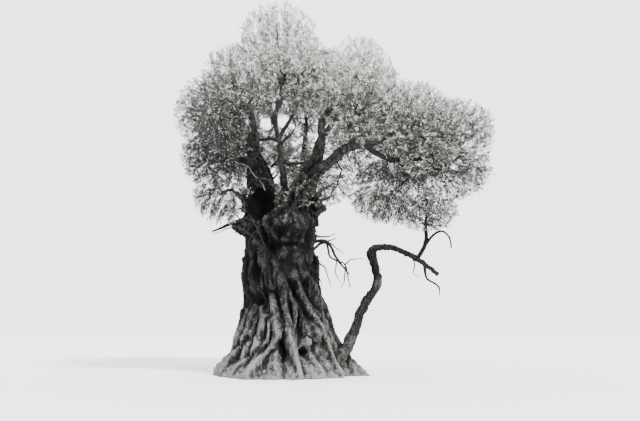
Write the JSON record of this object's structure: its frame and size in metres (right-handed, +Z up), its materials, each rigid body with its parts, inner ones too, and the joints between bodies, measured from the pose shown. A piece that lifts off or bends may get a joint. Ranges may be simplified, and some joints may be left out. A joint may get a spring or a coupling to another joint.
{
  "type": "olive tree",
  "caption": "Ancient olive tree with a fluted, root-flared trunk, tapering boughs, a long bent arm out of its root and an open crown of leafy masses.",
  "frame": {"origin": "centre of the flat cut under the trunk, at ground level", "axes": "+Z up along the trunk, +X to the viewer's right in the main view, towards the long bough and the bent arm, +Y away from the viewer"},
  "size_m": [8.8316, 6.796, 10.5556],
  "materials": {
    "bark": "matte",
    "leaves": "matte"
  },
  "bodies": {
    "root": {"trunk": "bark", "bough_back": "bark", "bough_back_far": "bark", "bough_back_left": "bark", "bough_back_low": "bark", "bough_back_right": "bark", "bough_back_top": "bark", "bough_far_low": "bark", "bough_far_right": "bark", "bough_front_far": "bark", "bough_front_left": "bark", "bough_front_right": "bark", "bough_front_top": "bark", "bough_left": "bark", "bough_left_hanging": "bark", "bough_left_low": "bark", "bough_left_outer": "bark", "bough_middle": "bark", "bough_right": "bark", "bough_right_far": "bark", "bough_right_long": "bark", "bough_right_mid": "bark", "bough_right_shoulder": "bark", "bough_right_under": "bark", "bough_top": "bark", "bough_top_right": "bark", "bough_upper_left": "bark", "arm_lower": "bark", "arm_shoot": "bark", "arm_shoot_arched": "bark", "arm_shoot_hanging": "bark", "arm_upper": "bark", "dead_branch_left": "bark", "dead_branch_right": "bark", "crown_arm": "leaves", "crown_back_far": "leaves", "crown_back_left": "leaves", "crown_back_low": "leaves", "crown_back_right": "leaves", "crown_back_top": "leaves", "crown_far_low": "leaves", "crown_far_right": "leaves", "crown_front_far": "leaves", "crown_front_left": "leaves", "crown_front_right": "leaves", "crown_front_top": "leaves", "crown_left": "leaves", "crown_left_hanging": "leaves", "crown_left_low": "leaves", "crown_right_mid": "leaves", "crown_right_shoulder": "leaves", "crown_right_under": "leaves", "crown_top": "leaves", "crown_top_right": "leaves", "crown_upper_left": "leaves"}
  },
  "joints": []
}
